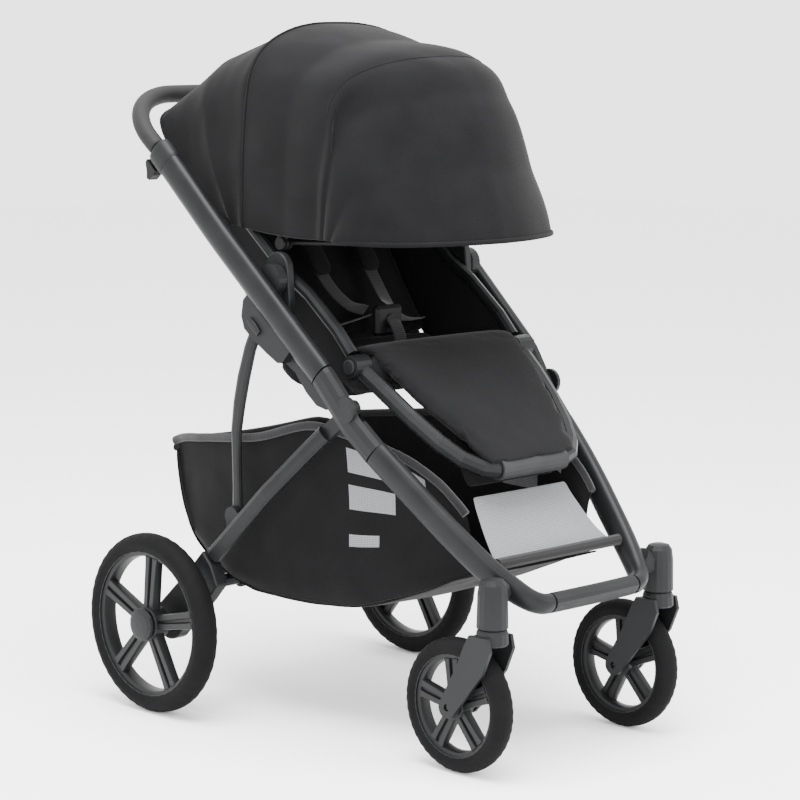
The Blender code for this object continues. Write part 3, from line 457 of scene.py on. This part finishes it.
# Padded pieces: a shape is filled a little by a cloth simulation, so its skin puckers by itself.
def puffed(piece, voxel=0.0055, pressure=4.0, cap=0.010):
    remesh = piece.modifiers.new("voxels", "REMESH")
    remesh.mode = "VOXEL"
    remesh.voxel_size = voxel
    bpy.context.view_layer.objects.active = piece
    bpy.ops.object.modifier_apply(modifier=remesh.name)
    rest = [v.co.copy() for v in piece.data.vertices]
    cloth = piece.modifiers.new("cloth", "CLOTH")
    cloth.settings.use_pressure = True
    cloth.settings.uniform_pressure_force = pressure
    cloth.settings.effector_weights.gravity = 0.0
    cloth.settings.quality = 4
    cloth.settings.shrink_min = -0.06
    cloth.settings.tension_stiffness = 12
    cloth.settings.compression_stiffness = 12
    cloth.settings.bending_stiffness = 0.4
    cloth.point_cache.frame_start = 1
    cloth.point_cache.frame_end = 20
    scene = bpy.context.scene
    for moment in range(1, 21):
        scene.frame_set(moment)
    bpy.ops.object.modifier_apply(modifier=cloth.name)
    scene.frame_set(1)
    for vertex, start in zip(piece.data.vertices, rest):
        move = vertex.co - start
        if move.length > cap:
            vertex.co = start + move.normalized() * cap
    for face in piece.data.polygons:
        face.use_smooth = True
    layer = piece.data.uv_layers.get("metres") or piece.data.uv_layers.new(name="metres")
    for loop in piece.data.loops:
        spot = piece.data.vertices[loop.vertex_index].co
        layer.data[loop.index].uv = (spot.x, spot.y * 0.6 + spot.z * 0.8)
    smooth = piece.modifiers.new("smooth", "SUBSURF")
    smooth.levels = 1
    smooth.render_levels = 1
    return piece


# A cushion along a line in the middle plane: rows across, sewn channels, rolled sides.
def cushionMesh(name, line, halves, thick, channels, depth=0.006, bolster=0.0, stations=56, wide=36):
    path = spline([(0, y, z) for y, z in line], stations)
    half = steps(halves, stations)
    rows = []
    for j, point in enumerate(path):
        run = (path[min(j + 1, stations - 1)] - path[max(j - 1, 0)]).normalized()
        face = Vector((0, run.z, -run.y))
        end = min(1.0, (j + 0.4) / 3, (stations - 1 - j + 0.4) / 3) ** 0.5
        sewn = min(abs(j / (stations - 1) - c) for c in channels) if channels else 1
        groove = depth * math.exp(-(sewn / 0.012) ** 2)
        top, bottom = [], []
        for i in range(wide + 1):
            u = -1 + 2 * i / wide
            roll = max(0.0, 1 - abs(u) ** 8) ** 0.5
            rise = thick * end * (0.35 + 0.65 * roll) - groove * (1 - abs(u) ** 6)
            rise += bolster * max(0.0, abs(u) - 0.72) / 0.28 * roll
            spread = point + Vector((u * half[j], 0, 0))
            top.append(at(*(spread + face * rise)))
            bottom.append(at(*(spread - face * 0.004 * roll)))
        rows.append(top + bottom[::-1])
    return gridMesh(name, rows, closed=True, caps=True)


backLine = [(0.352, 0.938), (0.300, 0.857), (0.252, 0.783), (0.206, 0.713), (0.168, 0.655), (0.134, 0.610)]
seatLine = [(0.118, 0.596), (0.090, 0.578), (0.045, 0.572), (-0.010, 0.573), (-0.052, 0.586), (-0.074, 0.600)]
linerBack = finish("seat_back_cushion", cushionMesh("seat_back_cushion", backLine[::-1],
                   [0.158, 0.162, 0.164, 0.160, 0.150], 0.034, [0.25, 0.5, 0.75], 0.008, 0.016),
                   "seat", linerKnit, replaces=["seat_shell"], slot="charcoal_cloth")
linerSeat = finish("seat_bottom_cushion", cushionMesh("seat_bottom_cushion", seatLine[::-1],
                   [0.162, 0.166, 0.166, 0.162], 0.030, [0.33, 0.66], 0.007, 0.012),
                   "seat", linerKnit, slot="charcoal_cloth")
for cushion in (linerBack, linerSeat):
    puffed(cushion)
print("liner made")

# Seat back skin behind the liner, and the side wings that join it to the seat frame's tubes.
shellRows = []
for y, z, half in ((0.372, 0.944, 0.170), (0.316, 0.852, 0.172), (0.262, 0.768, 0.172),
                   (0.206, 0.682, 0.170), (0.158, 0.612, 0.166), (0.116, 0.566, 0.160),
                   (0.062, 0.550, 0.156), (-0.020, 0.552, 0.150), (-0.070, 0.572, 0.142)):
    row = [at(half * math.sin(math.pi / 2 * u / 8), y + 0.004 * abs(u / 8) ** 3, z) for u in range(-8, 9)]
    shellRows.append(row)
shellRows = [spline([row[i] for row in shellRows], 49) for i in range(17)]
shellRows = creased([[col[j] for col in shellRows] for j in range(49)], 0.0022, 41, stretch=(0.5, 1.2, 1.2))
seatBack = finish("seat_back_cover", gridMesh("seat_back_cover", shellRows), "seat", seatTwill,
                  slot="charcoal_cloth", smooth=180)
thicken(seatBack, 0.0030, 1)
for side, sign in (("l", 1), ("r", -1)):
    wing = []
    edge = spline([(0.1785, y, z) for y, z in ((0.352, 0.940), (0.262, 0.862), (0.180, 0.795), (0.110, 0.735),
                                               (0.052, 0.690), (-0.010, 0.640), (-0.044, 0.610))], 33)
    back = spline([(0.166, y, z) for y, z in ((0.366, 0.938), (0.300, 0.824), (0.238, 0.728), (0.172, 0.632),
                                              (0.110, 0.566), (0.030, 0.552), (-0.060, 0.572))], 33)
    for a, b in zip(edge, back):
        row = []
        for k in range(9):
            share = k / 8
            spot = a.lerp(b, share)
            bulge = 0.008 * math.sin(math.pi * share)
            row.append(at(sign * (spot.x - 0.006 * math.sin(math.pi * share)), spot.y, spot.z - bulge))
        wing.append(row)
    wing = creased(wing, 0.0020, 51 + sign, stretch=(1, 1.4, 0.7))
    piece = finish("seat_side_wing_" + side, gridMesh("seat_side_wing_" + side, wing), "seat", seatTwill,
                   slot="charcoal_cloth", smooth=180)
    thicken(piece, 0.0026, 1)
print("seat skin made")

# Leg rest: one padded apron from the seat's front edge down to the sleeve of the bar.
apron = [(-0.026, 0.603), (-0.066, 0.608), (-0.110, 0.578), (-0.160, 0.540), (-0.205, 0.504), (-0.244, 0.470),
         (-0.262, 0.452)]
legPad = finish("leg_rest_apron", cushionMesh("leg_rest_apron", apron[::-1],
                [0.088, 0.104, 0.128, 0.148, 0.158, 0.160], 0.011, [], 0.0, 0.0, 60, 40),
                None, linerKnit, replaces=["leg_rest_pad"], slot="charcoal_cloth")
puffed(legPad, 0.005, 3.0, 0.005)
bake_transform(legPad)
lipRows = [[at(half * u / 8, y, z) for u in range(-8, 9)] for y, z, half in (
    (-0.196, 0.490, 0.108), (-0.200, 0.470, 0.108), (-0.206, 0.448, 0.106), (-0.213, 0.428, 0.103),
    (-0.220, 0.410, 0.098))]
lipRows = creased([[Vector(p) for p in row] for row in lipRows], 0.0012, 61)
legLip = finish("leg_rest_skirt", gridMesh("leg_rest_skirt", lipRows), "leg_rest", seatTwill,
                slot="charcoal_cloth", smooth=180)
thicken(legLip, 0.003, 1)
print("leg rest made")


# Harness: webbing bent over the cushions, with padded sleeves on the shoulders.
def strapPiece(name, path, width, thick, up, slot="webbing"):
    rows = tubeRows([at(*p) for p in spline(path, 44)], width, thick, up, 16, 5.0)
    return finish(name, gridMesh(name, rows, closed=True, caps=True), "seat", webbing, slot=slot, smooth=60)


for side, sign in (("l", 1), ("r", -1)):
    high = [(sign * 0.054, 0.2980, 0.9200), (sign * 0.0560, 0.2200, 0.7980), (sign * 0.0540, 0.1500, 0.7020)]
    low = [(sign * 0.0440, 0.1060, 0.6600), (sign * 0.0300, 0.0760, 0.6500)]
    made = strapPiece("harness_strap_" + side, high + low, 0.026, 0.0020, (0, -0.83, 0.56))
    if sign > 0:
        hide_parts("harness")
    sleeve = spline([Vector(p) + Vector((0, -0.0035, 0.0025)) for p in high], 30)
    widths = [0.038 * min(1, 0.55 + k / 4, 0.55 + (29 - k) / 4) for k in range(30)]
    deeps = [0.015 * min(1, 0.4 + k / 5, 0.4 + (29 - k) / 5) for k in range(30)]
    rows = tubeRows([at(*p) for p in sleeve], widths, deeps, (0, -0.83, 0.56), 20, 3.2)
    pad = finish("harness_pad_" + side, gridMesh("harness_pad_" + side, rows, closed=True, caps=True), "seat",
                 linerKnit, slot="charcoal_cloth")
    strapPiece("harness_waist_" + side, [(sign * 0.024, 0.072, 0.642), (sign * 0.070, 0.094, 0.628),
                                        (sign * 0.112, 0.108, 0.622), (sign * 0.136, 0.122, 0.620)],
               0.024, 0.0020, (0, 0.25, 0.97))
strapPiece("harness_crotch", [(0, 0.044, 0.636), (0, 0.034, 0.624), (0, 0.028, 0.612), (0, 0.026, 0.600)],
           0.026, 0.0022, (0, -0.95, 0.3))
print("harness made")


# Basket: floor, two sides and rear wall of nylon, with knitted windows and a knitted front panel.
basketLine = [(-0.302, 0.294, 0.322, 0.130), (-0.240, 0.278, 0.398, 0.148), (-0.150, 0.240, 0.452, 0.166),
              (-0.050, 0.207, 0.476, 0.182), (0.035, 0.199, 0.484, 0.192), (0.135, 0.199, 0.457, 0.200),
              (0.205, 0.205, 0.446, 0.200), (0.290, 0.236, 0.436, 0.194), (0.345, 0.268, 0.428, 0.186),
              (0.388, 0.330, 0.414, 0.176)]
lanes = [spline([(y, v, 0) for y, *rest in basketLine for v in [rest[k]]], 61) for k in range(3)]
stationsAlong = [(lanes[0][j].x, lanes[0][j].y, lanes[1][j].y, lanes[2][j].y) for j in range(61)]


def basketSide(sign, firstStation, lastStation, seed):
    rows = []
    for j in range(firstStation, lastStation + 1):
        y, low, high, half = stationsAlong[j]
        row = []
        for k in range(15):
            share = k / 14
            z = low + (high - low) * share
            curve = 0.022 * math.exp(-(z - low) / 0.020)
            belly = 0.010 * math.sin(math.pi * share) ** 0.8
            row.append(at(sign * (half - curve - belly), y, z))
        rows.append(row)
    return creased(rows, 0.0030, seed, stretch=(1, 0.6, 1.2))


def zonePaint(piece, columns, rows, wide, zones, material):
    piece.data.materials.append(material)
    for index, face in enumerate(piece.data.polygons):
        j, i = divmod(index, wide)
        u, v = (j + 0.5) / rows, (i + 0.5) / columns
        if any(a <= u <= b and c <= v <= d for a, b, c, d in zones):
            face.material_index = 1


for side, sign in (("l", 1), ("r", -1)):
    rows = basketSide(sign, 5, 57, 71 + sign)
    panel = finish("basket_side_" + side, gridMesh("basket_side_" + side, rows), "front_frame", basketNylon,
                   slot="charcoal_cloth", smooth=180)
    zonePaint(panel, 14, 52, 14,
              [(0.12, 0.31, 0.80, 0.93), (0.20, 0.31, 0.55, 0.70), (0.24, 0.31, 0.34, 0.46)], ventMesh)
    thicken(panel, 0.0022, 1)
    if sign > 0:
        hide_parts("basket")
    rim = [row[-1] + Vector((0, 0, 0.001)) for row in rows]
    edge = tubePiece("basket_rim_" + side, rim, 0.010, 0.014, (0, 0, 1), "front_frame", webbing, sides=12,
                     slot="webbing")
floorRows = []
for j in range(0, 58):
    y, low, high, half = stationsAlong[j]
    wide = half - 0.020
    sagging = 0.006 * math.sin(math.pi * j / 57)
    floorRows.append([at(wide * u / 12, y, low - sagging * (1 - (u / 12) ** 2)) for u in range(-12, 13)])
floorRows = creased(floorRows, 0.0024, 81, stretch=(0.8, 1.2, 1))
basketFloor = finish("basket_floor", gridMesh("basket_floor", floorRows), "front_frame", basketNylon,
                     slot="charcoal_cloth", smooth=180)
thicken(basketFloor, 0.0030, 1)
panelRows = []
for k in range(21):
    share = k / 20
    y = -0.318 + 0.082 * share
    z = 0.306 + 0.092 * share - 0.010 * math.sin(math.pi * share)
    half = 0.134 - 0.030 * share
    panelRows.append([at(half * u / 14, y - 0.012 * (1 - (u / 14) ** 2) * math.sin(math.pi * share), z)
                       for u in range(-14, 15)])
panelRows = creased(panelRows, 0.0014, 91)
frontPanel = finish("basket_front_mesh", gridMesh("basket_front_mesh", panelRows), "front_frame", ventMesh,
                    slot="charcoal_cloth", smooth=180)
thicken(frontPanel, 0.0016, 1)
wallRows = []
for k in range(17):
    share = k / 16
    y = 0.352 + 0.040 * share + 0.010 * math.sin(math.pi * share)
    z = 0.272 + 0.150 * share
    wallRows.append([])
    for u in range(-14, 15):
        s = u / 14
        drop = 0.012 * max(0, abs(s) - 0.80) ** 2 / 0.04 * share
        wallRows[-1].append(at(0.182 * s, y - 0.026 * abs(s) ** 8, z - drop - 0.010 * (1 - s * s) * share))
wallRows = creased(wallRows, 0.0034, 95, stretch=(1, 1, 0.5))
rearPanel = finish("basket_rear_wall", gridMesh("basket_rear_wall", wallRows), "front_frame", basketNylon,
                   slot="charcoal_cloth", smooth=180)
thicken(rearPanel, 0.0040, 1)
tubePiece("basket_rim_rear", wallRows[-1], 0.010, 0.012, (0, 0, 1), "front_frame", webbing, sides=12,
          slot="webbing")
for name in ("basket_side_l", "basket_side_r", "basket_floor", "basket_rear_wall", "basket_rim_l",
             "basket_rim_r", "basket_rim_rear", "basket_front_mesh"):
    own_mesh(bpy.data.objects[name])
print("basket made")


# Wheels.
# A spoke pair: two wide blades with a narrow groove between them, thick at the hub and at the barrel.
def bladeMesh(name, inner, outer, turn, offset, wideIn, wideOut, face, depthIn, depthOut):
    rows = []
    for k in range(9):
        share = k / 8
        r = inner + (outer - inner) * share
        flare = 0.0022 * (max(0, share - 0.8) / 0.2) ** 2 + 0.0016 * (max(0, 0.2 - share) / 0.2) ** 2
        wide = wideIn + (wideOut - wideIn) * share + flare
        lean = offset * (1.0 + 0.35 * share)
        deep = depthIn + (depthOut - depthIn) * share
        row = []
        for c, d in ((-0.5, 0.12), (-0.42, 0), (0.42, 0), (0.5, 0.12),
                     (0.5, 0.88), (0.42, 1), (-0.42, 1), (-0.5, 0.88)):
            t = lean + wide * c
            row.append(Vector((face - deep * d, r * math.cos(turn) - t * math.sin(turn),
                               r * math.sin(turn) + t * math.cos(turn))))
        rows.append(row)
    return gridMesh(name, rows, closed=True, caps=True)


def turnedMesh(name, profile, count, closedProfile):
    rows = turnedRows(profile, Vector((0, 0, 0)), count)
    return gridMesh(name, rows + [rows[0]], closed=closedProfile)


def wheelPieces(name, body, centre, radius, width, bead, hub, spokes, sign, rimNode, tyreNode):
    half = width / 2
    tread = []
    for k in range(21):
        turn = math.pi * (k / 20) - math.pi / 2
        tread.append((half * math.sin(turn), bead + (radius - bead) * abs(math.cos(turn)) ** 0.55))
    tread = [(half * 0.80, bead), *[(a, r) for a, r in reversed(tread)][1:-1], (-half * 0.80, bead)]
    count = 168
    rows = []
    for j in range(count):
        turn = 2 * math.pi * j / count
        row = []
        for a, r in tread:
            shoulder = max(0.0, abs(a) / half - 0.30)
            lug = 0.0007 if (j % 4 < 2 and 0.05 < shoulder < 0.55) else 0.0
            ring = 0.0009 if abs(abs(a) / half - 0.22) < 0.06 else 0.0
            top = r - 0.0004 - lug - (ring if r > radius * 0.96 else 0)
            row.append(centre + Vector((a, top * math.cos(turn), top * math.sin(turn))))
        rows.append(row)
    finish(name + "_tyre", gridMesh(name + "_tyre", rows + [rows[0]], closed=True), body, tyreRubber,
           replaces=[tyreNode], slot="tyre_rubber", smooth=30)
    w = half * 0.80
    lip = bead + 0.0016
    barrel = [(w, lip), (w - 0.0012, lip + 0.0010), (w - 0.0034, lip - 0.0012), (w - 0.0050, bead - 0.0075),
              (w - 0.0090, bead - 0.0092), (-w + 0.0090, bead - 0.0092), (-w + 0.0050, bead - 0.0075),
              (-w + 0.0034, lip - 0.0012), (-w + 0.0012, lip + 0.0010), (-w, lip),
              (-w, bead - 0.0020), (w, bead - 0.0020)]
    meshes = [turnedMesh(name + "_barrel", barrel, 96, True)]
    face = sign * half * 0.62
    deep = sign * half * 0.85
    for k in range(5):
        turn = math.radians(spokes + 72 * k)
        for lean in (-1, 1):
            meshes.append(bladeMesh(name + "_blade", hub * 0.72, bead - 0.0080, turn,
                                    lean * (0.0052 + hub * 0.05), 0.0086 + hub * 0.03,
                                    0.0088 + hub * 0.05, face, deep, deep * 0.8))
        meshes.append(bladeMesh(name + "_web", hub * 0.72, bead - 0.0080, turn, 0, 0.0040, 0.0060,
                                face - sign * half * 0.22, deep * 0.4, deep * 0.35))
    boss = [(sign * half * 0.78, 0), (sign * half * 0.78, hub * 0.62), (sign * half * 0.74, hub * 0.68),
            (sign * half * 0.66, hub * 0.70), (sign * half * 0.66, hub * 0.80),
            (sign * half * 0.76, hub * 0.84), (sign * half * 0.76, hub * 0.95),
            (sign * half * 0.70, hub), (-sign * half * 0.62, hub * 0.96),
            (-sign * half * 0.66, hub * 0.90), (-sign * half * 0.66, 0)]
    meshes.append(turnedMesh(name + "_boss", boss, 64, False))
    mesh = joined(name + "_rim", meshes)
    mesh.transform(Matrix.Translation(centre))
    return finish(name + "_rim", mesh, body, nylonRim, replaces=[rimNode], slot="moulded_plastic", smooth=34)


for side, sign in (("l", 1), ("r", -1)):
    rear = jointAt("rear_wheel_spin_" + side)
    front = jointAt("front_wheel_spin_" + side)
    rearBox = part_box("rear_tyre_" + side)
    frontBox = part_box("front_tyre_" + side)
    rearAt = (Vector(rearBox[0]) + Vector(rearBox[1])) / 2
    frontAt = (Vector(frontBox[0]) + Vector(frontBox[1])) / 2
    wheelPieces("rear_wheel_" + side, "rear_wheel_" + side, rearAt, 0.1462, rearBox[1][0] - rearBox[0][0],
                0.1180, 0.0270, 96, sign, "rear_rim_" + side, "rear_tyre_" + side)
    wheelPieces("front_wheel_" + side, "front_wheel_" + side, frontAt, 0.1028,
                frontBox[1][0] - frontBox[0][0], 0.0790, 0.0205, 84, sign,
                "front_rim_" + side, "front_tyre_" + side)
print("wheels made")


# Frame tubes.
def bentTube(name, path, wide, tall, body, cadNode, material, slot, side=1, count=64, sides=40, power=2.3):
    line = spline([Vector((side * p[0], p[1], p[2])) for p in path], count)
    full = steps(wide, count) if isinstance(wide, list) else wide
    high = steps(tall, count) if isinstance(tall, list) else tall
    return tubePiece(name, line, full, high, across, body, material, sides=sides, power=power,
                     replaces=[cadNode], slot=slot, smooth=60)


legPlaces = [(0.2095, -0.1345, 0.4645), (0.1985, -0.183, 0.423), (0.1860, -0.229, 0.382),
             (0.1720, -0.271, 0.344), (0.1570, -0.312, 0.309), (0.1390, -0.349, 0.281),
             (0.1240, -0.372, 0.265), (0.1085, -0.383, 0.2585), (0.0950, -0.385, 0.2575)]
tubePlaces = [(s, 0.228 + 0.012 * min(1.0, (s - 0.0725) / 0.30))
              for s in (0.0725, 0.15, 0.22, 0.30, 0.3725, 0.47, 0.5615)]
for side, sign in (("l", 1), ("r", -1)):
    bentTube("front_leg_tube_" + side, [at(*p) for p in legPlaces],
             [0.028] * 6 + [0.027] * 3, [0.045] * 4 + [0.043, 0.039, 0.035, 0.033, 0.032], "front_frame",
             "front_leg_" + side, powderCoat, "frame_paint", sign)
    upper = bentTube("upper_side_tube_" + side, [onTube(s, 0, x) for s, x in tubePlaces], 0.028, 0.045,
                     "upper_frame", "upper_tube_" + side, powderCoat, "frame_paint", sign)
    collar = [onTube(s, 0, sign * 0.240) for s in (0.528, 0.531, 0.536, 0.545, 0.556, 0.560, 0.5635)]
    tubePiece("tube_collar_" + side, collar, [0.0286, 0.0306, 0.0314, 0.0314, 0.0314, 0.0308, 0.0290],
              [0.0456, 0.0476, 0.0484, 0.0484, 0.0484, 0.0478, 0.0460], across, "upper_frame", mouldedAbs,
              sides=40, power=2.3, slot="housing_plastic", smooth=50)

# Push bar: a padded grip in stitched leatherette, with its seam on the underside.
gripLine = [(0.240, 0.5675)]
for k in range(9):
    turn = math.radians(90 * k / 8)
    gripLine.append((0.240 - 0.124 + 0.124 * math.cos(turn), 0.5816 + 0.124 * math.sin(turn)))
gripLine += [(0.050, 0.7056), (0.0, 0.7056)]
gripLine += [(-x, s) for x, s in reversed(gripLine[:-1])]
gripPath = spline([onTube(s, -0.0166 * (s - 0.563) / 0.1426, x) for x, s in gripLine], 140)
ends = [1.0 - 0.10 * max(0.0, 1 - min(k, 139 - k) / 2) for k in range(140)]
grip = tubePiece("push_bar_grip", gripPath, [0.029 * e for e in ends], [0.029 * e for e in ends], across,
                 "handle", gripFoam, sides=32, replaces=["handle_grip"], slot="grip_foam", smooth=70)
stitches = []
for k in range(6, 134, 1):
    run = (gripPath[k + 1] - gripPath[k - 1]).normalized()
    down = (-across - run * run.dot(-across)).normalized()
    start = gripPath[k] + down * 0.01445
    places = [start - run * 0.0018, start + down * 0.0002, start + run * 0.0018]
    stitches.append(gridMesh("stitch", tubeRows(places, 0.0010, 0.0008, down, 6), closed=True, caps=True))
finish("push_bar_stitching", joined("push_bar_stitching", stitches), "handle", softSleeve, slot="grip_foam")
print("tubes made")


# Camera and light.
view = {"place": (-2.9977, -2.9972, 1.1386), "turn": -44.75, "down": 8.43, "roll": 0.29, "lens": 121.1}
camera = bpy.data.objects.new("camera", bpy.data.cameras.new("camera"))
bpy.context.scene.collection.objects.link(camera)
camera.location = at(*view["place"])
cameraTurn = Matrix.Rotation(math.radians(view["turn"]), 3, "Z")
cameraDown = Matrix.Rotation(math.radians(90 - view["down"]), 3, "X")
cameraRoll = Matrix.Rotation(math.radians(view["roll"]), 3, "Z")
camera.rotation_euler = (cameraTurn @ cameraDown @ cameraRoll).to_euler()
camera.data.lens = view["lens"]
camera.data.sensor_width = 36.0
bpy.context.scene.camera = camera


def softLight(name, place, target, size, power):
    lamp = bpy.data.lights.new(name, "AREA")
    lamp.shape = "DISK"
    lamp.size = size
    lamp.energy = power
    made = bpy.data.objects.new(name, lamp)
    bpy.context.scene.collection.objects.link(made)
    made.location = place
    made.rotation_euler = (Vector(target) - Vector(place)).to_track_quat("-Z", "Y").to_euler()


softLight("overhead", (-0.6, -0.4, 3.4), (0, 0, 0.4), 2.6, 340)
softLight("front", (-3.2, -2.0, 2.0), (0, 0, 0.5), 1.8, 70)
softLight("side", (1.2, -3.2, 1.7), (0, 0, 0.5), 1.6, 60)
world = bpy.data.worlds.new("studio")
bpy.context.scene.world = world
world.use_nodes = True
world.node_tree.nodes["Background"].inputs["Color"].default_value = (1, 1, 1, 1)
world.node_tree.nodes["Background"].inputs["Strength"].default_value = 3.0

floorMesh = bpy.data.meshes.new("floor")
floorMesh.from_pydata([(-9, -9, 0), (9, -9, 0), (9, 9, 0), (-9, 9, 0)], [], [(0, 1, 2, 3)])
floor = bpy.data.objects.new("floor", floorMesh)
bpy.context.scene.collection.objects.link(floor)
floorPaint, _, floorShader = newSurface("floor_painted_matt", 0.85)
floorShader.inputs["Base Color"].default_value = linear("fbfbfb")
floorMesh.materials.append(floorPaint)
print("camera, light and floor ready")
